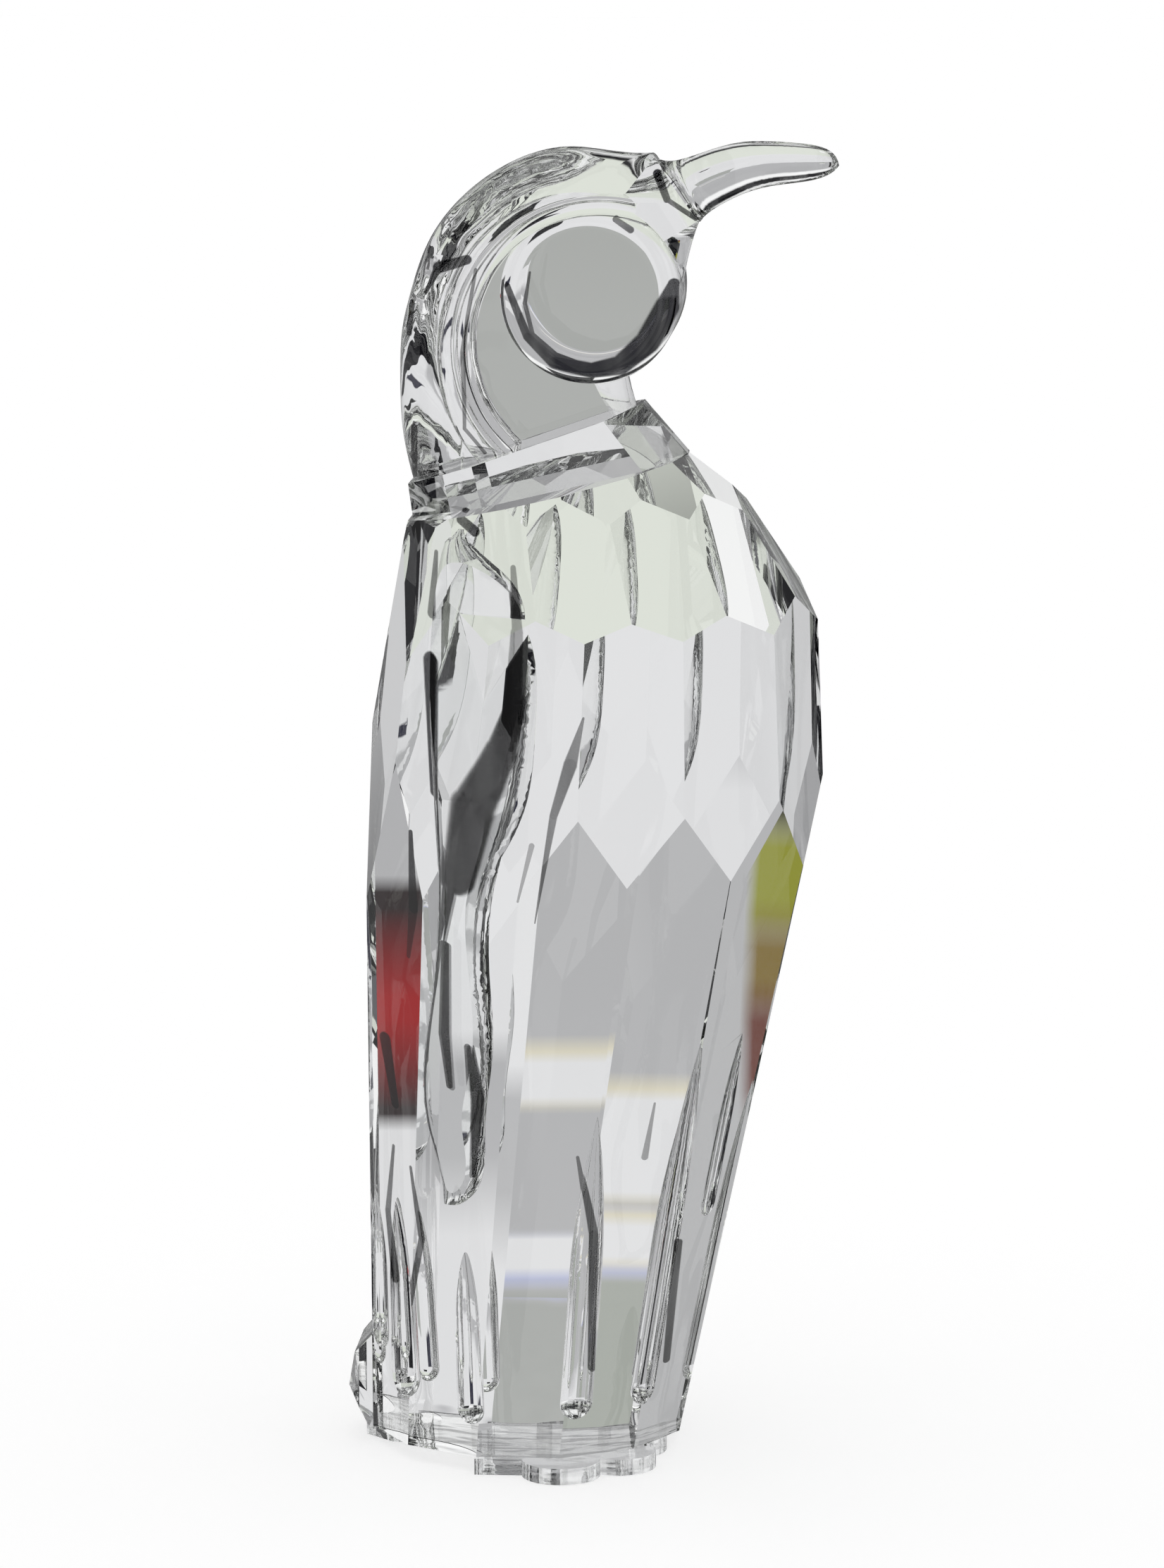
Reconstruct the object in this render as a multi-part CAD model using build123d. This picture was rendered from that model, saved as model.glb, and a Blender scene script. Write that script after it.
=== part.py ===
from math import cos, hypot, radians, sin
import os

from build123d import *

# Cut-crystal penguin, standing upright, in millimetres.
# Z is up and the origin is on the ground, on the upright axis between the feet.
# The bird faces -Y, so its right side is -X and its left side is +X.
# "Ahead" is a distance towards the beak, and a "turn" is an angle round the upright
# axis, measured from straight ahead towards the bird's right side.

# The adhesive film that every joint shares, and the columns of facets round the body
BOND = 0.1
BOND_INSET = 0.4
COLUMNS = 12

# Body: height of the neck seat on the upright axis, and the heights of its girdles
BODY_HEIGHT = 76.65
FOOT_HEIGHT_SHARE = 0.026
WAIST_HEIGHT_SHARE = 0.665
CHEST_HEIGHT_SHARE = 0.887
SHOULDER_HEIGHT_SHARE = 0.999
NECK_HEIGHT_SHARE = 1.067

# Girdles of the faceted body: how far ahead the centre is, half depth, half width
FOOT_GIRDLE = (0.95, 12.4, 12.5)
WAIST_GIRDLE = (6.05, 17.6, 20.2)
CHEST_GIRDLE = (6.7, 16.3, 19.6)
SHOULDER_GIRDLE = (4.8, 12.7, 13.6)
NECK_GIRDLE = (2.65, 8.15, 7.6)

# Neck collar: the rise of its two seats towards the front, its height on the upright
# axis, its two girdles, and the turns of its flat faces on the right side
NECK_SEAT_TILT = 13.1
HEAD_SEAT_TILT = 19.2
COLLAR_THICKNESS = 3.7
COLLAR_LOW_GIRDLE = (4.1, 12.4, 7.4)
COLLAR_HIGH_GIRDLE = (2.2, 11.0, 7.0)
COLLAR_TURNS = (0, 35, 90, 130, 180)

# Round-bottomed flutes of the skirt: turn, then the lower end and the upper end as shares
# of the waist's height, and the radius as a share of the flutes' radius
FLUTE_RADIUS = 1.35
FLUTE_SHARES = (
    (25, 0.39, 0.694, 0.74),
    (41, 0.098, 0.694, 0.93),
    (66, 0.088, 0.587, 1.0),
    (103, 0.078, 0.391, 0.89),
    (135, 0.098, 0.45, 1.48),
    (154, 0.16, 0.42, 1.1),
)
FLUTE_SINK_SHARE = 0.15
FLUTE_POINT_SHARE = 0.55
FLUTE_SLIM_SHARE = 0.75

# Feet: a thin lobed plate with a heel that runs back under the tail
FEET_THICKNESS = 1.3
FEET_HALF_WIDTH = 13.0
FEET_SIDE_FRONT = 6.6
FEET_SIDE_BACK = 2.5
FEET_FRONT = 11.3
TOE_RADIUS = 3.1
TOE_REACH = 16.4
TOE_REACH_SHARES = ((26, 0.81), (48, 0.97), (71, 1.0))
HEEL_HALF_WIDTH = 3.6
HEEL_ROOT = 7.0
HEEL_BACK = 12.2
HEEL_CORNER = 2.4
INSTEP_SAG_SHARE = 0.22

# Tail: a small cut wedge behind the skirt
TAIL_HALF_WIDTH = 4.2
TAIL_TOP = 9.5
TAIL_TOP_BACK = 11.0
TAIL_SHOULDER = 7.4
TAIL_SHOULDER_BACK = 12.9
TAIL_TIP = 4.6
TAIL_TIP_BACK = 13.4
TAIL_BASE_BACK = 11.7
TAIL_CORNER_TURN = 42.0
TAIL_CORNER_REACH = 12.1

# Flippers behind the flanks, section by section: height as a share of the body's height,
# turn, then the half width and the height proud as shares of the fullest ones
FLIPPER_HALF_WIDTH = 4.6
FLIPPER_PROUD = 2.5
FLIPPER_ROOT_DEPTH = 2.4
FLIPPER_SECTION_SHARES = (
    (0.979, 130, 0.26, 0.18),
    (0.933, 123, 0.78, 0.86),
    (0.868, 120, 1.0, 0.95),
    (0.79, 118, 1.0, 1.0),
    (0.705, 117, 0.85, 0.86),
    (0.62, 119, 0.57, 0.55),
    (0.535, 119, 0.57, 0.64),
    (0.457, 119, 0.7, 0.73),
    (0.372, 119, 0.61, 0.6),
    (0.287, 120, 0.17, 0.14),
)
LEAF_TURN = 120
LEAF_PROUD = 1.2
LEAF_HEIGHT_SHARES = ((0.769, 0.945), (0.372, 0.535))

# Head: its length and its height above its seat on the upright axis. Its outlines are
# shares of these two: ahead of the axis, and up from the seat.
HEAD_LENGTH = 23.0
HEAD_HEIGHT = 23.0
HEAD_HALF_WIDTH = 7.7
HEAD_FLAT_SHARE = 0.8
HEAD_SECTION_SHARES = (0.36, 0.62)
HEAD_MIDDLE_SHARES = (0.06, 0.466)
HEAD_BACK_SHARES = (
    (-0.345, -0.84), (-0.352, -0.13), (-0.388, 0.03), (-0.399, 0.253), (-0.391, 0.4), (-0.363, 0.52),
    (-0.291, 0.713), (-0.176, 0.857), (-0.019, 0.966), (0.173, 1.02), (0.33, 1.006), (0.487, 1.002),
)
HEAD_FACE_SHARES = (
    (0.63, 0.776), (0.602, 0.698), (0.574, 0.576), (0.539, 0.454), (0.474, 0.359), (0.387, 0.237),
)
HEAD_THROAT_SHARES = ((0.387, 0.237), (0.407, 0.155), (0.548, -0.115), (0.635, -0.885))

# Cheeks: a rounded boss right through the head, and the groove that swirls round it
CHEEK_SHARES = (0.265, 0.537)
CHEEK_RADIUS = 7.1
CHEEK_HALF_WIDTH = 7.2
CHEEK_ROUND = 1.9
SWIRL_SHARES = (0.3, 0.35)
SWIRL_RADIUS = 11.6
SWIRL_WIRE_RADIUS = 1.3

# Beak: its seat on the head, its length, and its sections along it: ahead and up from the
# seat as shares of its length, half height and half width as shares of its root's
BEAK_SEAT_SHARES = (0.557, 0.872)
BEAK_SEAT_LEAN = 35.0
BEAK_LENGTH = 12.5
BEAK_ROOT_HALF_HEIGHT = 2.95
BEAK_ROOT_HALF_WIDTH = 2.6
BEAK_SECTION_SHARES = (
    (0.272, 0.104, 0.71, 0.83),
    (0.536, 0.168, 0.61, 0.67),
    (0.768, 0.176, 0.51, 0.54),
    (0.928, 0.176, 0.34, 0.37),
)
BEAK_TIP_SHARES = (1.0, 0.16)


def level(turn):
    """Level direction at a turn from straight ahead."""
    return Vector(-sin(radians(turn)), -cos(radians(turn)), 0)


def at(ahead, height, right=0):
    """Point at a distance ahead, a height, and a distance to the bird's right."""
    return Vector(-right, -ahead, height)


def head_point(shares):
    """Distance ahead and height of a point of the head, given as shares."""
    ahead, up = shares
    return HEAD_LENGTH * ahead, head_seat_height + HEAD_HEIGHT * up


def beak_point(shares):
    """Distance ahead and height of a point of the beak, given as shares from its seat."""
    (seat_ahead, seat_height), (ahead, up) = head_point(BEAK_SEAT_SHARES), shares
    return seat_ahead + BEAK_LENGTH * ahead, seat_height + BEAK_LENGTH * up


def girdle_reach(girdle, turn):
    """How far the outline of a girdle reaches at a turn, measured from the upright axis."""
    height, ahead, half_depth, half_width = girdle
    c, s = cos(radians(turn)), sin(radians(turn))
    return ahead * c + hypot(half_depth * c, half_width * s)


def plane_through(turn, low, high):
    """Plane facing outwards at a turn, through a reach at each of two heights."""
    (low_height, low_reach), (high_height, high_reach) = low, high
    out = level(turn)
    rise = Vector(0, 0, high_height - low_height) + out * (high_reach - low_reach)
    across = Vector(0, 0, 1).cross(out)
    origin = out * low_reach + Vector(0, 0, low_height)
    return Plane(origin=origin, x_dir=across, z_dir=across.cross(rise))


def facet_plane(turn, lower, upper, proud=0):
    """Plane of one facet between two girdles, moved outwards by a height proud."""
    low = (lower[0], girdle_reach(lower, turn))
    high = (upper[0], girdle_reach(upper, turn))
    return plane_through(turn, low, high).offset(proud)


def seat_plane(height, tilt, lift=0):
    """Upward plane that rises towards the front, lifted square to itself."""
    normal = Vector(0, sin(radians(tilt)), cos(radians(tilt)))
    return Plane(origin=(0, 0, height), x_dir=(1, 0, 0), z_dir=normal).offset(lift)


def behind(solid, plane):
    """What is left of a solid behind a plane."""
    return split(solid, bisect_by=plane, keep=Keep.BOTTOM)


def before(solid, plane):
    """What is left of a solid in front of a plane."""
    return split(solid, bisect_by=plane, keep=Keep.TOP)


def both_sides(right_half):
    """A solid on the right side of the middle, joined to its mirror image."""
    return right_half + mirror(right_half, about=Plane.YZ)


def right_blank(low, high):
    """Block on the right side of the middle, from one height to another."""
    reach = sum(waist)
    align = (Align.MAX, Align.CENTER, Align.MIN)
    return Pos(0, 0, low) * Box(reach, 2 * reach, high - low, align=align)


def right_half_body(proud=0):
    """Right half of the faceted body, from the ground up, with its facets moved out."""
    half = right_blank(0, head_seat_height + HEAD_HEIGHT)
    step = 360 / COLUMNS
    for row, (lower, upper) in enumerate(zip(girdles, girdles[1:])):
        for column in range(COLUMNS // 2 + 1):
            turn = (column + row % 2 / 2) * step
            if turn <= 180:
                half = behind(half, facet_plane(turn, lower, upper, proud))
    return half


def flute_tool(turn, low, high, radius):
    """Round-ended rod with a long pointed top, laid along the skirt at a turn."""
    low_reach, high_reach = (
        body_reach(turn, height) + radius * FLUTE_SINK_SHARE for height in (low, high)
    )
    foot = level(turn) * low_reach + Vector(0, 0, low)
    point = level(turn) * high_reach + Vector(0, 0, high)
    length = (point - foot).length
    straight = length * (1 - FLUTE_POINT_SHARE)
    middle = (straight + length) / 2
    half_round = radius * sin(radians(45))
    outline = [
        ThreePointArc((0, 0), (half_round, radius - half_round), (radius, radius)),
        Line((radius, radius), (radius, straight)),
        ThreePointArc((radius, straight), (radius * FLUTE_SLIM_SHARE, middle), (0, length)),
        Line((0, length), (0, 0)),
    ]
    rod = revolve(Plane.XZ * make_face(outline), Axis.Z)
    return Plane(origin=foot, z_dir=point - foot) * rod


def body_at(height):
    """Girdle of the body at a height, between the girdles below and above it."""
    for lower, upper in zip(girdles, girdles[1:]):
        if height <= upper[0]:
            break
    share = (height - lower[0]) / (upper[0] - lower[0])
    return [low + (high - low) * share for low, high in zip(lower, upper)]


def body_reach(turn, height):
    """Reach of the body's outline at a turn and a height, measured from the upright axis."""
    return girdle_reach(body_at(height), turn)


def torso(blank):
    """Faceted body below the neck seat, with its fluted skirt."""
    right_tools = [
        flute_tool(turn, low * waist[0], high * waist[0], radius * FLUTE_RADIUS)
        for turn, low, high, radius in FLUTE_SHARES
    ]
    left_tools = [mirror(tool, about=Plane.YZ) for tool in right_tools]
    return behind(blank, seat_plane(BODY_HEIGHT, NECK_SEAT_TILT)) - right_tools - left_tools


def feet_outline(inset=0):
    """Right half of the feet's outline, without toes, drawn in by an inset."""
    side = -FEET_HALF_WIDTH + inset
    heel = -HEEL_HALF_WIDTH + inset
    side_back, root, back = FEET_SIDE_BACK - inset, HEEL_ROOT - inset, HEEL_BACK - inset
    chord = Vector(heel - side, root - side_back, 0)
    sag = Vector(chord.Y, -chord.X, 0) * INSTEP_SAG_SHARE
    middle = Vector(side, side_back, 0) + chord / 2 + sag
    corner = back - HEEL_CORNER
    return [
        Polyline((0, back), (0, -FEET_FRONT), (side, -FEET_SIDE_FRONT), (side, side_back)),
        ThreePointArc((side, side_back), middle, (heel, root)),
        Polyline((heel, root), (heel, corner), (heel + HEEL_CORNER, back), (0, back)),
    ]


def feet_slab(low, thickness, inset=0):
    """Both feet and the heel as a flat slab, from a height up."""
    half = extrude(make_face(feet_outline(inset)), thickness)
    for turn, reach in TOE_REACH_SHARES:
        middle = level(turn) * (TOE_REACH * reach - TOE_RADIUS)
        toe = extrude(Circle(TOE_RADIUS - inset), thickness)
        half += Pos(middle.X, middle.Y, 0) * toe
    half = behind(half, Plane.YZ)
    return Pos(0, 0, low) * both_sides(half)


def tail_blank(inset=0):
    """Wedge of the tail, drawn in by an inset, before the body is taken out of it."""
    floor = FEET_THICKNESS + BOND
    ridge_slope = (TAIL_TOP - TAIL_SHOULDER) / (TAIL_SHOULDER_BACK - TAIL_TOP_BACK)
    side_view = Polyline(
        (0, floor),
        (-TAIL_BASE_BACK, floor),
        (-TAIL_TIP_BACK, TAIL_TIP),
        (-TAIL_SHOULDER_BACK, TAIL_SHOULDER - inset),
        (0, TAIL_SHOULDER + TAIL_SHOULDER_BACK * ridge_slope - inset),
        close=True,
    )
    side_plane = Plane(origin=(0, 0, 0), x_dir=(0, -1, 0), z_dir=(-1, 0, 0))
    wedge = extrude(side_plane * make_face(side_view), TAIL_HALF_WIDTH - inset, both=True)
    for turn in (180 - TAIL_CORNER_TURN, 180 + TAIL_CORNER_TURN):
        low, high = (0, TAIL_CORNER_REACH - inset), (TAIL_TOP, TAIL_CORNER_REACH - inset)
        wedge = behind(wedge, plane_through(turn, low, high))
    return wedge


def flipper_blank(inset=0):
    """Leaf-shaped ridge behind the right flank, before the body is taken out of it."""
    sections = []
    for height_share, turn, width_share, proud_share in FLIPPER_SECTION_SHARES:
        height, ahead, half_depth, half_width = body_at(BODY_HEIGHT * height_share)
        c, s = cos(radians(turn)), sin(radians(turn))
        skin = at(ahead + half_depth * c, height, half_width * s)
        proud = FLIPPER_PROUD * proud_share
        depth = FLIPPER_ROOT_DEPTH + proud
        width = FLIPPER_HALF_WIDTH * width_share * depth / proud_chord(depth, proud)
        out = level(turn)
        origin = skin - out * FLIPPER_ROOT_DEPTH
        place = Plane(origin=origin, x_dir=Vector(0, 0, 1).cross(out), z_dir=(0, 0, 1))
        sections.append(place * Ellipse(width - inset, depth))
    return loft(sections)


def proud_chord(half_depth, proud):
    """Chord share of an ellipse at the depth where the body's surface meets it."""
    depth = half_depth - proud
    return (half_depth ** 2 - depth ** 2) ** 0.5


def flipper_leaf_planes():
    """Planes of the flat leaves that are cut on a flipper, just proud of the body."""
    planes = []
    for shares in LEAF_HEIGHT_SHARES:
        heights = [BODY_HEIGHT * share for share in shares]
        low, high = ((height, body_reach(LEAF_TURN, height) + LEAF_PROUD) for height in heights)
        planes.append(plane_through(LEAF_TURN, low, high))
    return planes


def flipper(shell):
    """Right flipper: the ridge outside the bonded surface, cut flat on its leaves."""
    wing = flipper_blank() - shell
    for plane in flipper_leaf_planes():
        wing = behind(wing, plane)
    return wing


def collar(inset=0):
    """Flat-sided neck collar, drawn in by an inset, before its seats are cut."""
    half = right_blank(waist[0], head_seat_height + HEAD_HEIGHT)
    low, high = (BODY_HEIGHT, *COLLAR_LOW_GIRDLE), (head_seat_height, *COLLAR_HIGH_GIRDLE)
    for turn in COLLAR_TURNS:
        half = behind(half, facet_plane(turn, low, high, -inset))
    return both_sides(half)


def head_section(share):
    """Side outline of the head, drawn in for its place between the middle and the side."""
    shrink = (1 - share ** 2) ** 0.5
    middle_ahead, middle_height = head_point(HEAD_MIDDLE_SHARES)
    origin = at(middle_ahead, middle_height, share * HEAD_HALF_WIDTH)
    back, face, throat = (
        [((ahead - middle_ahead) * shrink, (height - middle_height) * shrink)
         for ahead, height in map(head_point, run)]
        for run in (HEAD_BACK_SHARES, HEAD_FACE_SHARES, HEAD_THROAT_SHARES)
    )
    outline = [
        Spline(*back),
        Line(back[-1], face[0]),
        Spline(*face),
        Spline(*throat),
        Line(throat[-1], back[0]),
    ]
    return Plane(origin=origin, x_dir=(0, -1, 0), z_dir=(-1, 0, 0)) * make_face(outline)


def head_blank():
    """Moulded head and neck with cheeks, before its seats are cut."""
    right = [HEAD_FLAT_SHARE] + list(reversed(HEAD_SECTION_SHARES))
    shares = right + [0] + [-share for share in reversed(right)]
    hood = loft([head_section(share) for share in shares])
    cheek = Rot(0, 90, 0) * Cylinder(CHEEK_RADIUS, 2 * CHEEK_HALF_WIDTH)
    cheek = fillet(cheek.edges().filter_by(GeomType.CIRCLE), CHEEK_ROUND)
    return hood + Pos(at(*head_point(CHEEK_SHARES))) * cheek


def beak_seat(lift=0):
    """Plane where the beak is bonded on, facing forwards and up."""
    lean = radians(BEAK_SEAT_LEAN)
    normal = Vector(0, -cos(lean), sin(lean))
    origin = at(*head_point(BEAK_SEAT_SHARES))
    return Plane(origin=origin, x_dir=(1, 0, 0), z_dir=normal).offset(lift)


def head():
    """Head with its two seats, and the swirl grooves round its cheeks."""
    solid = before(head_blank(), seat_plane(head_seat_height, HEAD_SEAT_TILT, BOND))
    solid = behind(solid, beak_seat())
    for side in (1, -1):
        ring = Rot(0, 90, 0) * Torus(SWIRL_RADIUS, SWIRL_WIRE_RADIUS)
        middle = at(*head_point(SWIRL_SHARES), side * HEAD_FLAT_SHARE * HEAD_HALF_WIDTH)
        solid -= Pos(middle) * ring
    return solid


def beak_root(inset=0):
    """Outline of the beak where it meets the head, drawn in by an inset."""
    return Ellipse(BEAK_ROOT_HALF_WIDTH - inset, BEAK_ROOT_HALF_HEIGHT - inset)


def beak():
    """Slender beak, bent down a little towards its rounded tip."""
    shares = [(0, 0)] + [section[:2] for section in BEAK_SECTION_SHARES] + [BEAK_TIP_SHARES]
    stations = [at(*beak_point(pair)) for pair in shares]
    sections = [beak_seat(BOND) * beak_root()]
    for index, (*_, tall, wide) in enumerate(BEAK_SECTION_SHARES, 1):
        along = stations[index + 1] - stations[index - 1]
        place = Plane(origin=stations[index], x_dir=(1, 0, 0), z_dir=along)
        sections.append(place * Ellipse(BEAK_ROOT_HALF_WIDTH * wide, BEAK_ROOT_HALF_HEIGHT * tall))
    sections.append(Vertex(*stations[-1]))
    return loft(sections)


def bond_slab(solid, low, high):
    """Part of a solid between two planes that face the same way."""
    return behind(before(solid, low), high)


os.makedirs("parts", exist_ok=True)

foot = (BODY_HEIGHT * FOOT_HEIGHT_SHARE, *FOOT_GIRDLE)
waist = (BODY_HEIGHT * WAIST_HEIGHT_SHARE, *WAIST_GIRDLE)
chest = (BODY_HEIGHT * CHEST_HEIGHT_SHARE, *CHEST_GIRDLE)
shoulder = (BODY_HEIGHT * SHOULDER_HEIGHT_SHARE, *SHOULDER_GIRDLE)
neck = (BODY_HEIGHT * NECK_HEIGHT_SHARE, *NECK_GIRDLE)
girdles = (foot, waist, chest, shoulder, neck)
head_seat_height = BODY_HEIGHT + COLLAR_THICKNESS

sole = Plane.XY.offset(FEET_THICKNESS + BOND)
plain_body = both_sides(before(right_half_body(), sole))
bonded_body = both_sides(before(right_half_body(BOND), sole))
neck_seat = [seat_plane(BODY_HEIGHT, NECK_SEAT_TILT, lift) for lift in (0, BOND)]
head_seat = [seat_plane(head_seat_height, HEAD_SEAT_TILT, lift) for lift in (0, BOND)]
whole_collar = collar()
inner_collar = collar(BOND_INSET)
footprint = both_sides(right_half_body(-BOND_INSET))
footprint += Pos(0, 0, -2 * BOND) * tail_blank(BOND_INSET)
right_flipper = flipper(bonded_body)
right_flipper_bond = flipper_blank(BOND_INSET) & bonded_body
right_flipper_bond -= plain_body
beak_bond = extrude(beak_seat() * beak_root(BOND_INSET), BOND)

pieces = {
    "feet": feet_slab(0, FEET_THICKNESS),
    "foot_bond": feet_slab(FEET_THICKNESS, BOND, BOND_INSET) & footprint,
    "torso": torso(plain_body),
    "tail": tail_blank() - bonded_body,
    "tail_bond": (tail_blank(BOND_INSET) & bonded_body) - plain_body,
    "right_flipper": right_flipper,
    "left_flipper": mirror(right_flipper, about=Plane.YZ),
    "right_flipper_bond": right_flipper_bond,
    "left_flipper_bond": mirror(right_flipper_bond, about=Plane.YZ),
    "neck_bond": bond_slab(inner_collar, *neck_seat),
    "neck_collar": bond_slab(whole_collar, neck_seat[1], head_seat[0]),
    "head_bond": bond_slab(inner_collar & head_blank(), *head_seat),
    "head": head(),
    "beak_bond": beak_bond,
    "beak": beak(),
}
for name, solid in pieces.items():
    export_step(solid, f"parts/{name}.step")
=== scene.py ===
from math import cos, pi, radians, sin

import bmesh
import bpy
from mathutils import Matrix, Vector
from mathutils.bvhtree import BVHTree


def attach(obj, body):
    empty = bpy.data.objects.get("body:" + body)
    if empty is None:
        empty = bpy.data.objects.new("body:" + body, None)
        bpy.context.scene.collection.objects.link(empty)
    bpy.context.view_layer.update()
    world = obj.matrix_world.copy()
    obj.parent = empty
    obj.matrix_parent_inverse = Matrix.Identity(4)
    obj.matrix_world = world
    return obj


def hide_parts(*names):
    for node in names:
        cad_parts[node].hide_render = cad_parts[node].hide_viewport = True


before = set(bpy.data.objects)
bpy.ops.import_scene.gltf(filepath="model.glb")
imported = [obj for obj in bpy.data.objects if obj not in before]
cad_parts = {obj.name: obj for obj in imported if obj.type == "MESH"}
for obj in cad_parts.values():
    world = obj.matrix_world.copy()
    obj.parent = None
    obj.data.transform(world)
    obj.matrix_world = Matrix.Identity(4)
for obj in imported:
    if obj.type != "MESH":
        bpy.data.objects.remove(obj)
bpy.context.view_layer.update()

MM = 0.001

# The camera, as fitted to the facet corners and the outline
CAMERA_PLACE = (-488.3 * MM, -36.9 * MM, 132.4 * MM)
CAMERA_SIGHT = (0.9851, 0.0640, -0.1597)
CAMERA_LENS = 142.98
CAMERA_SENSOR = 36.0

# Meshing: what counts as one vertex, one plane, a broad flat cut, and a crease
MERGE_DISTANCE = 0.001 * MM
COPLANAR_ANGLE = radians(0.2)
BROAD_CUT = 0.6 * MM
CREASE_ANGLE = radians(35)

# Floor: how far it reaches, how far it lies below the object, its colours
FLOOR_REACH = 3.0
FLOOR_GAP = 0.05 * MM
FLOOR_COLOUR = (0.5, 0.5, 0.5)
FLOOR_GLOW = (0.7, 0.7, 0.7)

# Joints: how far a bonded side is pushed in, what already touches, what counts as facing the seat
SINK = 0.13 * MM
EASE = 0.01 * MM
FILM_EASE = 0.02 * MM
SEAT_FACING = 0.9

# Optics
CRYSTAL_IOR = 1.545
FILM_IOR = 1.0
CRYSTAL_TINTS = ((0.98, 0.99, 0.995), (0.995, 0.995, 0.99))
FILM_TINTS = ((0.985, 0.99, 0.985), (0.995, 0.99, 0.99))
# Painted shade: the near-black tint that the dark strokes paint into the glass's colour
PAINTED_SHADE_TINT = (0.002, 0.002, 0.003, 1)
DRIFT_SCALE = 60.0
WAVE_SCALE = 150.0
# Painted shade: how fine its streaks are, the side (x below this) it is kept to, and the share of each stroke's radius
# that is fully dark
STREAK_SCALE = 420.0
NEAR_SIDE = -0.5 * MM
SOLID_SHARE = 0.75

# Waviness: which axis it grows along, where it starts and where it is full, how deep
CRYSTAL_WAVES = ("Z", 12 * MM, 0, 0.08 * MM)
MOULDED_WAVES = ("Y", 0, 5 * MM, 0.2 * MM)

# Painted shade: dark strokes painted into the glass's colour on the seen side only, with no geometry beneath them, in
# millimetres: y, z of each end, radius at each end, darkness
FLANK_PAINTED_SHADE = (
    (-0.9, 72.5, -1.45, 67.9, 0.25, 0.5, 0.6),
    (-1.4, 67.9, -1.2, 61.5, 0.55, 0.9, 0.6),
    (-1.1, 61.5, -0.2, 58.7, 0.9, 1.2, 0.6),
    (-0.2, 58.7, 1.9, 54.2, 1.3, 1.7, 0.6),
    (1.9, 54.2, 3.1, 48.6, 1.8, 1.4, 0.6),
    (3.7, 47.6, 4.3, 43.6, 0.5, 0.15, 0.6),
    (4.1, 43.2, 4.3, 36.1, 0.35, 0.5, 0.6),
    (4.3, 36.1, 3.9, 31.9, 0.5, 0.3, 0.6),
    (2.4, 35.2, 1.9, 31.0, 0.3, 0.6, 0.6),
    (1.9, 31.0, 2.4, 24.8, 0.6, 0.2, 0.6),
    (5.5, 73.0, 5.6, 68.6, 0.2, 0.5, 0.75),
    (5.6, 65.0, 5.2, 55.0, 0.8, 0.5, 0.9),
    (-6.6, 61.6, -5.6, 58.0, 0.1, 0.6, 0.75),
    (-5.6, 58.0, -4.3, 54.0, 0.6, 0.35, 0.8),
    (-4.3, 54.0, -2.8, 45.5, 0.35, 0.05, 0.75),
    (-2.6, 51.6, -1.5, 47.2, 0.25, 0.1, 0.5),
    (3.5, 75.7, 2.3, 74.9, 0.4, 0.45, 0.9),
    (9.2, 25.5, 9.8, 19.9, 0.15, 0.3, 0.8),
    (9.8, 19.9, 9.2, 14.3, 0.3, 0.35, 0.85),
    (7.6, 24.4, 6.7, 18.8, 0.15, 0.3, 0.8),
    (6.7, 18.8, 7.8, 13.2, 0.3, 0.3, 0.85),
    (-5.9, 26.5, -7.0, 19.8, 0.15, 0.45, 0.8),
    (-7.0, 19.8, -6.7, 8.6, 0.45, 0.35, 0.85),
    (-11.8, 30.5, -11.0, 26.1, 0.1, 0.3, 0.6),
    (-13.4, 18.3, -12.4, 8.2, 0.4, 0.3, 0.85),
    (7.3, 51.5, 7.1, 45.5, 0.2, 0.5, 0.9),
    (7.1, 45.5, 7.6, 41.5, 0.5, 0.2, 0.6),
    (9.9, 34.0, 9.0, 29.0, 0.6, 0.4, 0.9),
)
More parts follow.
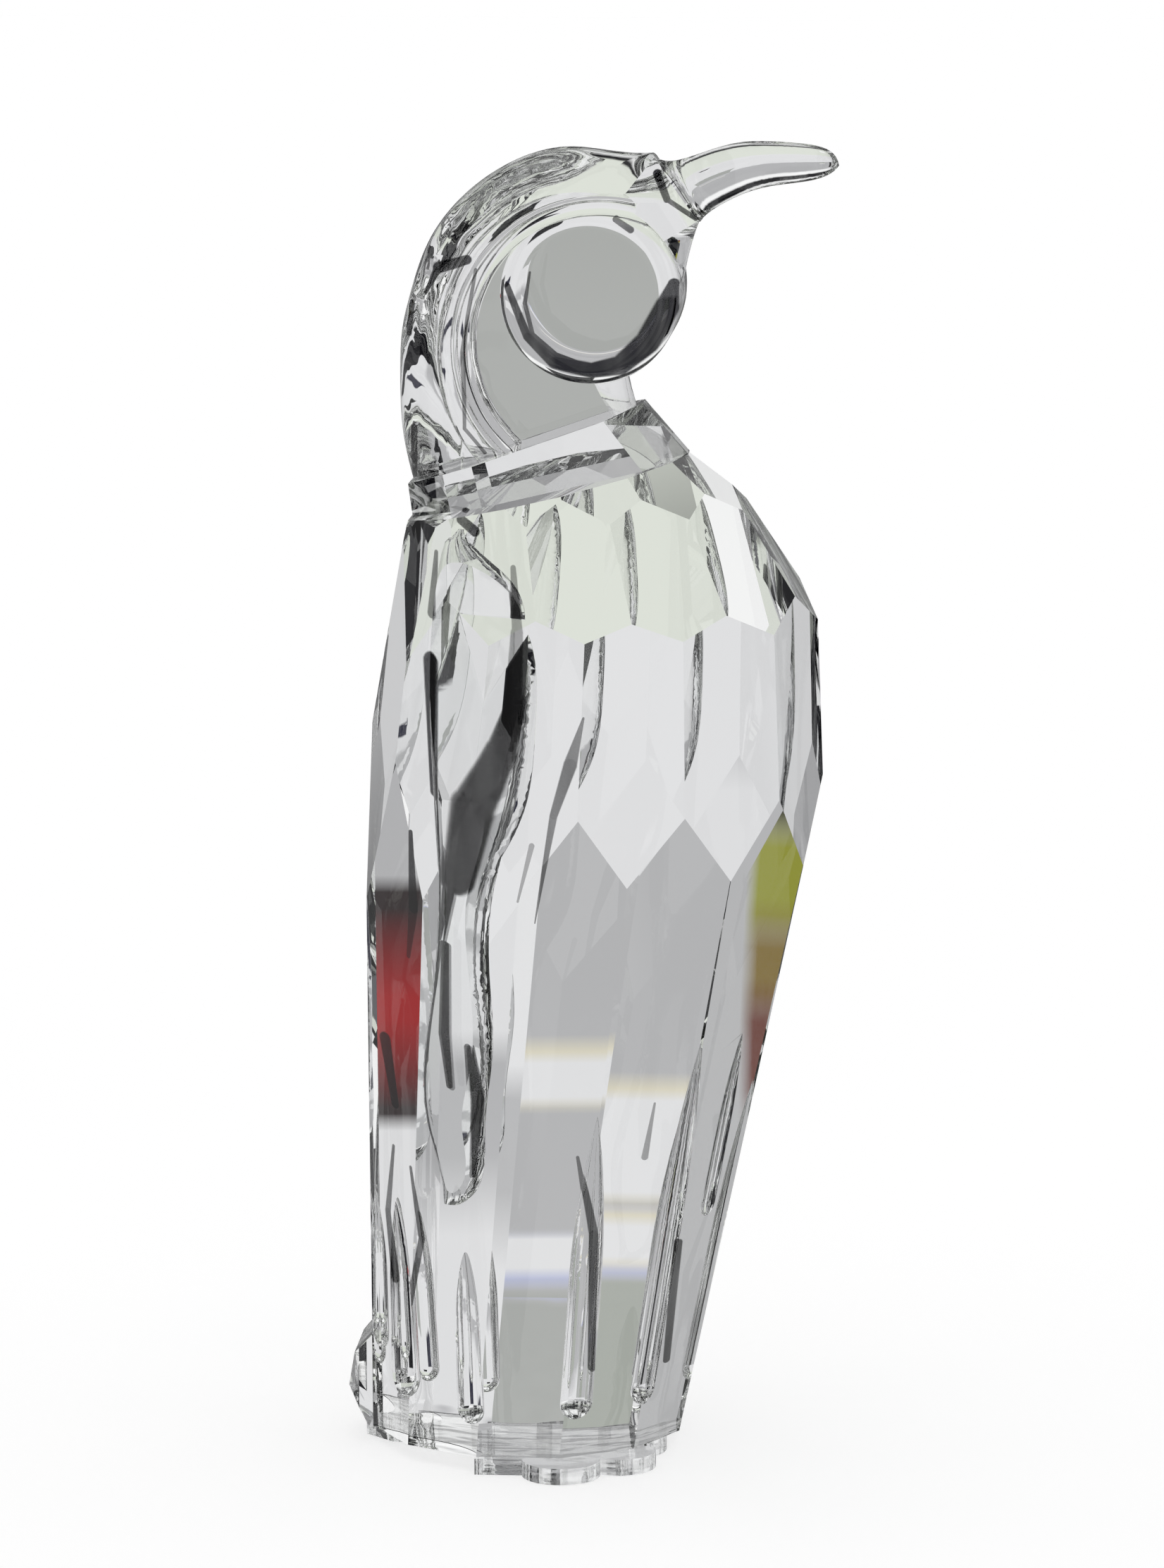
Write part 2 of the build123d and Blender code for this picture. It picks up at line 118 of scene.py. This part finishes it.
# Painted shade on the head and beak, drawn the same way: dark strokes with no geometry beneath them
HEAD_PAINTED_SHADE = (
    (0.2, 93.4, -1.4, 89.5, 0.3, 0.4, 0.9),
    (-1.4, 89.5, -3.5, 87.5, 0.4, 0.6, 0.95),
    (-3.5, 87.5, -6.4, 86.9, 0.6, 0.7, 0.97),
    (-6.4, 86.9, -8.6, 87.3, 0.7, 0.9, 0.98),
    (-8.6, 87.3, -10.7, 89.1, 0.9, 1.1, 0.98),
    (-10.7, 89.1, -12.2, 91.8, 1.1, 1.1, 0.98),
    (-12.2, 91.8, -12.7, 93.6, 1.1, 0.5, 0.95),
    (-1.6, 94.5, -1.2, 92.1, 0.1, 0.2, 0.85),
    (-1.2, 92.1, -1.8, 89.7, 0.2, 0.2, 0.85),
    (-1.8, 89.7, -3.6, 88.1, 0.2, 0.25, 0.9),
    (-3.6, 88.1, -5.5, 87.4, 0.25, 0.25, 0.9),
    (2.8, 94.5, 3.4, 90.9, 0.15, 0.2, 0.7),
    (3.4, 90.9, 3.8, 88.1, 0.2, 0.25, 0.75),
    (3.8, 88.1, 3.7, 82.1, 0.25, 0.15, 0.75),
    (3.7, 82.1, 2.1, 80.2, 0.15, 0.15, 0.7),
    (3.5, 95.3, 5.8, 94.6, 0.45, 0.5, 0.95),
    (5.8, 94.6, 6.8, 92.6, 0.4, 0.15, 0.9),
    (8.0, 91.7, 8.2, 89.4, 0.3, 0.3, 0.9),
    (7.8, 82.0, 7.9, 78.2, 0.35, 0.3, 0.9),
    (-8.2, 98.6, -9.4, 97.8, 0.25, 0.3, 0.85),
    (-11.2, 101.9, -12.0, 99.9, 0.35, 0.3, 0.95),
    (-12.0, 99.9, -14.2, 98.3, 0.2, 0.2, 0.9),
)


def node_tree(owner):
    """Empties the node tree of a material or a world and hands it back."""
    owner.use_nodes = True
    tree = owner.node_tree
    tree.nodes.clear()
    return tree


def group_tree(name, inputs, outputs):
    """Empty shader node group with its sockets, and its two ends."""
    tree = bpy.data.node_groups.new(name, "ShaderNodeTree")
    for way, sockets in (("INPUT", inputs), ("OUTPUT", outputs)):
        for label, kind in sockets:
            tree.interface.new_socket(label, in_out=way, socket_type="NodeSocket" + kind)
    return tree, tree.nodes.new("NodeGroupInput"), tree.nodes.new("NodeGroupOutput")


def chain(tree, kind, operation, *feeds):
    """Adds a maths node fed by sockets or plain values, and hands back the node."""
    node = tree.nodes.new(kind)
    node.operation = operation
    for index, feed in enumerate(feeds):
        if isinstance(feed, bpy.types.NodeSocket):
            tree.links.new(feed, node.inputs[index])
        else:
            node.inputs[index].default_value = feed
    return node


def stroke_group():
    """Node group: adds one tapering rounded stroke of painted shade to a shade."""
    inputs = (
        ("Shade", "Float"), ("Place", "Vector"), ("Start", "Vector"), ("Run", "Vector"),
        ("Radius", "Float"), ("Growth", "Float"), ("Darkness", "Float"),
    )
    tree, given, result = group_tree("stroke", inputs, (("Shade", "Float"),))
    vector, plain = "ShaderNodeVectorMath", "ShaderNodeMath"
    start, run = given.outputs["Start"], given.outputs["Run"]
    reach = chain(tree, vector, "SUBTRACT", given.outputs["Place"], start).outputs[0]
    along = chain(tree, vector, "DOT_PRODUCT", reach, run).outputs["Value"]
    length = chain(tree, vector, "DOT_PRODUCT", run, run).outputs["Value"]
    share = chain(tree, plain, "DIVIDE", along, length)
    share.use_clamp = True
    foot = chain(tree, vector, "SCALE", run)
    tree.links.new(share.outputs[0], foot.inputs["Scale"])
    across = chain(tree, vector, "SUBTRACT", reach, foot.outputs[0]).outputs[0]
    distance = chain(tree, vector, "LENGTH", across).outputs["Value"]
    growth = chain(tree, plain, "MULTIPLY", share.outputs[0], given.outputs["Growth"]).outputs[0]
    radius = chain(tree, plain, "ADD", growth, given.outputs["Radius"]).outputs[0]
    nearness = chain(tree, plain, "DIVIDE", distance, radius).outputs[0]
    profile = tree.nodes.new("ShaderNodeMapRange")
    profile.interpolation_type = "SMOOTHSTEP"
    profile.inputs["From Min"].default_value = SOLID_SHARE
    profile.inputs["To Max"].default_value = 0
    tree.links.new(nearness, profile.inputs["Value"])
    tree.links.new(given.outputs["Darkness"], profile.inputs["To Min"])
    darker = chain(tree, plain, "MAXIMUM", given.outputs["Shade"], profile.outputs[0])
    tree.links.new(darker.outputs[0], result.inputs[0])
    return tree


def noise_of(tree, place, scale):
    """A noise value at a place."""
    noise = tree.nodes.new("ShaderNodeTexNoise")
    noise.inputs["Scale"].default_value = scale
    tree.links.new(place, noise.inputs["Vector"])
    return noise.outputs[0]


def waves_and_painted_shade(tree, place, strokes, waves):
    """Normal from a waviness that grows along one axis, and a painted shade of dark strokes kept to the seen side, with
    no geometry beneath them.
    """
    plain = "ShaderNodeMath"
    axis, start, full, depth = waves
    split = tree.nodes.new("ShaderNodeSeparateXYZ")
    tree.links.new(place, split.inputs[0])
    swell = tree.nodes.new("ShaderNodeMapRange")
    swell.inputs["From Min"].default_value = start
    swell.inputs["From Max"].default_value = full
    swell.inputs["To Max"].default_value = depth
    tree.links.new(split.outputs[axis], swell.inputs["Value"])
    height = chain(tree, plain, "MULTIPLY", noise_of(tree, place, WAVE_SCALE), swell.outputs[0]).outputs[0]
    bump = tree.nodes.new("ShaderNodeBump")
    bump.inputs["Distance"].default_value = 1
    tree.links.new(height, bump.inputs["Height"])
    shade = None
    # The painted shade is kept to the side that faces the camera
    near = chain(tree, plain, "LESS_THAN", split.outputs["X"], NEAR_SIDE).outputs[0]
    flat = chain(tree, "ShaderNodeVectorMath", "MULTIPLY", place, (0, 1, 1)).outputs[0]
    for start_y, start_z, end_y, end_z, start_radius, end_radius, darkness in strokes:
        node = tree.nodes.new("ShaderNodeGroup")
        node.node_tree = stroke
        tree.links.new(flat, node.inputs["Place"])
        if shade:
            tree.links.new(shade, node.inputs["Shade"])
        node.inputs["Start"].default_value = (0, start_y * MM, start_z * MM)
        node.inputs["Run"].default_value = (0, (end_y - start_y) * MM, (end_z - start_z) * MM)
        node.inputs["Radius"].default_value = start_radius * MM
        node.inputs["Growth"].default_value = (end_radius - start_radius) * MM
        node.inputs["Darkness"].default_value = darkness
        shade = node.outputs["Shade"]
    # Streaks break up the painted shade, which is then kept to the seen side and deepened
    stretched = chain(tree, "ShaderNodeVectorMath", "MULTIPLY", place, (1, 1, 0.2)).outputs[0]
    streaks = tree.nodes.new("ShaderNodeMapRange")
    streaks.inputs["From Min"].default_value = 0.3
    streaks.inputs["From Max"].default_value = 0.6
    streaks.inputs["To Min"].default_value = 0.85
    tree.links.new(noise_of(tree, stretched, STREAK_SCALE), streaks.inputs["Value"])
    shade = chain(tree, plain, "MULTIPLY", shade, streaks.outputs[0]).outputs[0]
    shade = chain(tree, plain, "MULTIPLY", shade, near).outputs[0]
    clear = chain(tree, plain, "SUBTRACT", 1, shade).outputs[0]
    clear = chain(tree, plain, "POWER", clear, 2).outputs[0]
    return bump.outputs[0], chain(tree, plain, "SUBTRACT", 1, clear).outputs[0]


def tint_mix(tree, factor, first, second):
    """Mixes two colours, each a socket or a plain colour, and hands back the socket."""
    mix = tree.nodes.new("ShaderNodeMix")
    mix.data_type = "RGBA"
    tree.links.new(factor, mix.inputs["Factor"])
    for side, tint in (("A", first), ("B", second)):
        if isinstance(tint, bpy.types.NodeSocket):
            tree.links.new(tint, mix.inputs[side])
        else:
            mix.inputs[side].default_value = tint
    return mix.outputs["Result"]


def glass(name, ior, tints, strokes=(), waves=None):
    """Clear glass: a plain transmission weight, a faint drift of tint, its own waviness and a painted shade of dark
    strokes.
    """
    material = bpy.data.materials.new(name)
    tree = node_tree(material)
    shader = tree.nodes.new("ShaderNodeBsdfPrincipled")
    shader.inputs["Roughness"].default_value = 0.0
    shader.inputs["IOR"].default_value = ior
    shader.inputs["Transmission Weight"].default_value = 1.0
    place = tree.nodes.new("ShaderNodeTexCoord").outputs["Object"]
    cool, warm = ((*tint, 1) for tint in tints)
    tint = tint_mix(tree, noise_of(tree, place, DRIFT_SCALE), cool, warm)
    if strokes:
        normal, shade = waves_and_painted_shade(tree, place, strokes, waves)
        # Painted shade: the strokes darken the glass's colour towards a near-black tint
        tint = tint_mix(tree, shade, tint, PAINTED_SHADE_TINT)
        tree.links.new(normal, shader.inputs["Normal"])
    tree.links.new(tint, shader.inputs["Base Color"])
    output = tree.nodes.new("ShaderNodeOutputMaterial")
    tree.links.new(shader.outputs[0], output.inputs["Surface"])
    return material


def merged_copy(node):
    """A copy of a CAD node's mesh, merged, with its broad flat cuts kept flat and the rest smooth."""
    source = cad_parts[node].data
    mesh = bpy.data.meshes.new(node + "_shown")
    mesh.from_pydata([v.co for v in source.vertices], [], [p.vertices[:] for p in source.polygons])
    bm = bmesh.new()
    bm.from_mesh(mesh)
    bmesh.ops.remove_doubles(bm, verts=bm.verts, dist=MERGE_DISTANCE)
    bmesh.ops.dissolve_limit(bm, angle_limit=COPLANAR_ANGLE, verts=bm.verts, edges=bm.edges)
    for face in bm.faces:
        face.smooth = 2 * face.calc_area() / face.calc_perimeter() < BROAD_CUT
    for edge in bm.edges:
        edge.smooth = edge.calc_face_angle(0.0) < CREASE_ANGLE
    bm.to_mesh(mesh)
    bm.free()
    piece = bpy.data.objects.new(node + "_shown", mesh)
    bpy.context.scene.collection.objects.link(piece)
    return piece


def sink_seat(piece, towards):
    """Pushes a piece's flat seat through the film, so that the light crosses the joint as if bonded."""
    towards = Vector(towards)
    facing = [face for face in piece.data.polygons if face.normal.dot(towards) > SEAT_FACING]
    seat = max(facing, key=lambda face: face.area)
    shift = seat.normal * SINK
    for index in seat.vertices:
        piece.data.vertices[index].co += shift


def sink_skin(piece, support):
    """Pushes the bonded side of a piece through the film, into the piece that it lies on."""
    tree = BVHTree.FromPolygons(
        [v.co for v in support.data.vertices], [face.vertices[:] for face in support.data.polygons]
    )
    for vertex in piece.data.vertices:
        nearest, _, _, distance = tree.find_nearest(vertex.co)
        if EASE < distance < SINK:
            vertex.co += (nearest - vertex.co) * (SINK / distance)


def stand_for(piece, node, material):
    """Lets a piece stand for a CAD node, with its finish."""
    piece.data.materials.clear()
    piece.data.materials.append(material)
    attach(piece, "root")
    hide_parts(node)


stroke = stroke_group()
# Both crystals carry painted shade from their stroke tables; the bond film has none
crystal = glass("crystal", CRYSTAL_IOR, CRYSTAL_TINTS, FLANK_PAINTED_SHADE, CRYSTAL_WAVES)
moulded = glass("moulded_crystal", CRYSTAL_IOR, CRYSTAL_TINTS, HEAD_PAINTED_SHADE, MOULDED_WAVES)
film = glass("bond_film", FILM_IOR, FILM_TINTS)

shown = {node: merged_copy(node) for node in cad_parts}
for node, piece in shown.items():
    if node.endswith("_bond"):
        for vertex in piece.data.vertices:
            vertex.co -= vertex.normal * FILM_EASE
sink_seat(shown["torso"], (0, 0, -1))
sink_seat(shown["neck_collar"], (0, -0.23, -0.97))
sink_seat(shown["head"], (0, -0.33, -0.94))
sink_seat(shown["beak"], (0, 0.82, -0.57))
for node in ("tail", "right_flipper", "left_flipper"):
    sink_skin(shown[node], shown["torso"])
for node, piece in shown.items():
    if node.endswith("_bond"):
        stand_for(piece, node, film)
    elif node in ("head", "beak"):
        stand_for(piece, node, moulded)
    else:
        stand_for(piece, node, crystal)


def make_camera():
    camera = bpy.data.cameras.new("camera")
    camera.lens = CAMERA_LENS
    camera.sensor_width = CAMERA_SENSOR
    camera.clip_start = 0.01
    holder = bpy.data.objects.new("camera", camera)
    holder.location = CAMERA_PLACE
    holder.rotation_euler = Vector(CAMERA_SIGHT).to_track_quat("-Z", "Y").to_euler()
    bpy.context.scene.collection.objects.link(holder)
    bpy.context.scene.camera = holder


def card_group():
    """Node group: lays a soft-edged card of a colour over the surroundings, between two azimuths and two elevations."""
    tree = bpy.data.node_groups.new("card", "ShaderNodeTree")
    socket = tree.interface.new_socket
    socket("Around", in_out="INPUT", socket_type="NodeSocketColor")
    for name in ("Azimuth", "Elevation", "West", "East", "Low", "High", "Softness", "Lean"):
        socket(name, in_out="INPUT", socket_type="NodeSocketFloat")
    socket("Card", in_out="INPUT", socket_type="NodeSocketColor")
    socket("Around", in_out="OUTPUT", socket_type="NodeSocketColor")
    given = tree.nodes.new("NodeGroupInput")
    result = tree.nodes.new("NodeGroupOutput")

    def math(operation, first, second):
        return chain(tree, "ShaderNodeMath", operation, first, second).outputs[0]

    lean = math("MULTIPLY", given.outputs["Lean"], given.outputs["Elevation"])
    upright_azimuth = math("SUBTRACT", given.outputs["Azimuth"], lean)
    side_softness = math("MULTIPLY", given.outputs["Softness"], SIDE_SOFTNESS_SHARE)
    covers = []
    for inner, outer, softness in (
        (upright_azimuth, given.outputs["West"], side_softness),
        (given.outputs["East"], upright_azimuth, side_softness),
        (given.outputs["Elevation"], given.outputs["Low"], given.outputs["Softness"]),
        (given.outputs["High"], given.outputs["Elevation"], given.outputs["Softness"]),
    ):
        cover = tree.nodes.new("ShaderNodeClamp")
        tree.links.new(math("DIVIDE", math("SUBTRACT", inner, outer), softness), cover.inputs[0])
        covers.append(cover.outputs[0])
    across = math("MULTIPLY", covers[0], covers[1])
    upright = math("MULTIPLY", covers[2], covers[3])
    mix = tree.nodes.new("ShaderNodeMix")
    mix.data_type = "RGBA"
    tree.links.new(math("MULTIPLY", across, upright), mix.inputs["Factor"])
    tree.links.new(given.outputs["Around"], mix.inputs["A"])
    tree.links.new(given.outputs["Card"], mix.inputs["B"])
    tree.links.new(mix.outputs["Result"], result.inputs[0])
    return tree


# How much of the surroundings the crystal's outside mirrors
SHEEN = 0.35

# Surroundings, in degrees: azimuth 0 is along +Y and 90 along +X
GREY = (0.48, 0.48, 0.49)
LIGHT = (0.79, 0.79, 0.8)
GREENISH_GLOW = (0.75, 0.78, 0.71)
GREENISH = (0.39, 0.41, 0.375)
YELLOWISH = (0.72, 0.68, 0.55)
BLUISH = (0.5, 0.53, 0.72)
BLACK = (0.006, 0.006, 0.008)
DIM = (0.12, 0.12, 0.13)
WHITE = (1.0, 1.0, 1.0)
OLIVE = (0.28, 0.29, 0.02)
BROWN = (0.2, 0.13, 0.01)
DARK_RED = (0.12, 0.015, 0.004)
SIDE_SOFTNESS_SHARE = 0.25
BANDS = (
    (-90, WHITE), (-62, WHITE), (-54, BLACK), (-50, BLACK), (-47, GREENISH_GLOW), (-23, GREENISH_GLOW),
    (-21, LIGHT), (-4.6, LIGHT), (-4.2, GREY), (15, GREY), (18, WHITE), (24, WHITE), (28, BLACK),
    (42, BLACK), (47, WHITE), (90, WHITE),
)
# Cards: west, east, low, high, softness, lean, colour
CARDS = (
    (-172, -158, -52, 46, 3, 0, BLACK),
    (-140, -124, -52, 46, 3, 0, BLACK),
    (-110, -100, -52, 46, 3, 0, DIM),
    (-78, -64, -52, 46, 3, 0, BLACK),
    (-40, -26, -52, 46, 3, 0, BLACK),
    (-8, 8, -52, 46, 3, 0, BLACK),
    (152, 164, -52, 46, 3, 0, BLACK),
    (52, 64, -40, -33.5, 0.5, 0, WHITE),
    (82, 90, -8, -3.7, 0.1, 0, (0.415, 0.425, 0.41)),
    (82, 90, -3.75, -3.2, 0.12, 0, BLUISH),
    (82, 90, -3.65, -3.2, 0.1, 0, LIGHT),
    (82, 90, -3.3, -2.15, 0.1, 0, GREY),
    (82, 90, -2.2, -1.5, 0.15, 0, YELLOWISH),
    (82, 90, -2.15, -1.65, 0.1, 0, LIGHT),
    (66, 73, -4.2, -1.6, 0.1, 0, GREENISH),
    (66, 73, -1.68, -1.0, 0.12, 0, BLUISH),
    (66, 73, -1.6, -1.0, 0.1, 0, YELLOWISH),
    (66, 73, -1.56, -1.1, 0.1, 0, LIGHT),
    (66, 73, -1.05, 0.15, 0.15, 0, YELLOWISH),
    (66, 73, -1.0, 0.0, 0.1, 0, LIGHT),
    (95, 112, -3.4, -1.0, 0.3, 0, LIGHT),
    (43.66, 47, 5.6, 8, 0.35, 0.18, BLACK),
    (43.66, 47, 4.7, 6.0, 0.35, 0.18, OLIVE),
    (43.66, 47, 3.9, 5.2, 0.45, 0.18, BROWN),
    (43.66, 47, 3.1, 4.5, 0.4, 0.18, DARK_RED),
    (46.8, 55, -4, 12, 0.3, 0, BLACK),
    (116, 128, -12, 30, 1, 0, BLACK),
    (128.3, 131, -5.2, -2.9, 0.15, 0, (0.015, 0.006, 0.006)),
    (127, 132, -5.0, -3.2, 0.8, 0, (0.34, 0.0, 0.001)),
    (90.5, 99, -20, -14.5, 0.8, 0, BLACK),
    (84, 101, 17.5, 52, 1, 0, BLACK),
    (103, 113, -9, -6.6, 0.4, 0, (0.03, 0.03, 0.05)),
    (-180, -150, -12, 2, 2, 0, BLACK),
    (-65, -35, 6, 22, 3, 0, BLACK),
    (150, 180, -2, 14, 2, 0, BLACK),
)


def make_world():
    world = bpy.data.worlds.new("surroundings")
    tree = node_tree(world)
    nodes, links = tree.nodes, tree.links
    split = nodes.new("ShaderNodeSeparateXYZ")
    links.new(nodes.new("ShaderNodeTexCoord").outputs["Generated"], split.inputs[0])

    def degrees_of(operation, *sides):
        angle = nodes.new("ShaderNodeMath")
        angle.operation = operation
        for index, side in enumerate(sides):
            links.new(split.outputs[side], angle.inputs[index])
        turned = nodes.new("ShaderNodeMath")
        turned.operation = "DEGREES"
        links.new(angle.outputs[0], turned.inputs[0])
        return turned.outputs[0]

    azimuth = degrees_of("ARCTAN2", "X", "Y")
    elevation = degrees_of("ARCSINE", "Z")
    rise = nodes.new("ShaderNodeMapRange")
    rise.inputs["From Min"].default_value = -90
    rise.inputs["From Max"].default_value = 90
    links.new(elevation, rise.inputs["Value"])
    ramp = nodes.new("ShaderNodeValToRGB")
    links.new(rise.outputs[0], ramp.inputs[0])
    elements = ramp.color_ramp.elements
    while len(elements) < len(BANDS):
        elements.new(0.5)
    for element, (height, shade) in zip(elements, BANDS):
        element.position = (height + 90) / 180
        element.color = (*shade, 1)
    colour = ramp.outputs[0]
    group = card_group()
    for *edges, lean, shade in CARDS:
        card = nodes.new("ShaderNodeGroup")
        card.node_tree = group
        links.new(colour, card.inputs["Around"])
        links.new(azimuth, card.inputs["Azimuth"])
        links.new(elevation, card.inputs["Elevation"])
        for name, edge in zip(("West", "East", "Low", "High", "Softness"), edges):
            card.inputs[name].default_value = edge
        card.inputs["Lean"].default_value = lean
        card.inputs["Card"].default_value = (*shade, 1)
        colour = card.outputs[0]
    around = nodes.new("ShaderNodeBackground")
    links.new(colour, around.inputs[0])
    plain = nodes.new("ShaderNodeBackground")
    plain.inputs[0].default_value = (1, 1, 1, 1)
    path = nodes.new("ShaderNodeLightPath")
    sheen = nodes.new("ShaderNodeMath")
    sheen.operation = "SUBTRACT"
    links.new(path.outputs["Is Reflection Ray"], sheen.inputs[0])
    links.new(path.outputs["Is Diffuse Ray"], sheen.inputs[1])
    dimmed = nodes.new("ShaderNodeMapRange")
    dimmed.inputs["To Min"].default_value = 1
    dimmed.inputs["To Max"].default_value = SHEEN
    links.new(sheen.outputs[0], dimmed.inputs["Value"])
    links.new(dimmed.outputs[0], around.inputs["Strength"])
    mix = nodes.new("ShaderNodeMixShader")
    links.new(path.outputs["Is Camera Ray"], mix.inputs[0])
    links.new(around.outputs[0], mix.inputs[1])
    links.new(plain.outputs[0], mix.inputs[2])
    output = nodes.new("ShaderNodeOutputWorld")
    links.new(mix.outputs[0], output.inputs[0])
    bpy.context.scene.world = world


def make_floor():
    """Pale floor: white to the camera but for the object's shadow, and not seen through the glass."""
    mesh = bpy.data.meshes.new("floor")
    reach = FLOOR_REACH
    mesh.from_pydata([(-reach, -reach, 0), (reach, -reach, 0), (reach, reach, 0), (-reach, reach, 0)], [], [(0, 1, 2, 3)])
    floor = bpy.data.objects.new("floor", mesh)
    floor.location = (0, 0, -FLOOR_GAP)
    bpy.context.scene.collection.objects.link(floor)
    material = bpy.data.materials.new("pale_floor")
    tree = node_tree(material)
    nodes, links = tree.nodes, tree.links
    matt = nodes.new("ShaderNodeBsdfDiffuse")
    matt.inputs[0].default_value = (*FLOOR_COLOUR, 1)
    glow = nodes.new("ShaderNodeEmission")
    glow.inputs[0].default_value = (*FLOOR_GLOW, 1)
    shown = nodes.new("ShaderNodeAddShader")
    links.new(matt.outputs[0], shown.inputs[0])
    links.new(glow.outputs[0], shown.inputs[1])
    clear = nodes.new("ShaderNodeBsdfTransparent")
    path = nodes.new("ShaderNodeLightPath")
    mix = nodes.new("ShaderNodeMixShader")
    links.new(path.outputs["Is Camera Ray"], mix.inputs[0])
    links.new(clear.outputs[0], mix.inputs[1])
    links.new(shown.outputs[0], mix.inputs[2])
    output = nodes.new("ShaderNodeOutputMaterial")
    links.new(mix.outputs[0], output.inputs["Surface"])
    mesh.materials.append(material)


make_camera()
make_world()
make_floor()
scene = bpy.context.scene
scene.view_settings.view_transform = "Standard"
scene.cycles.max_bounces = 18
scene.cycles.glossy_bounces = 14
scene.cycles.transmission_bounces = 18
scene.cycles.transparent_max_bounces = 8
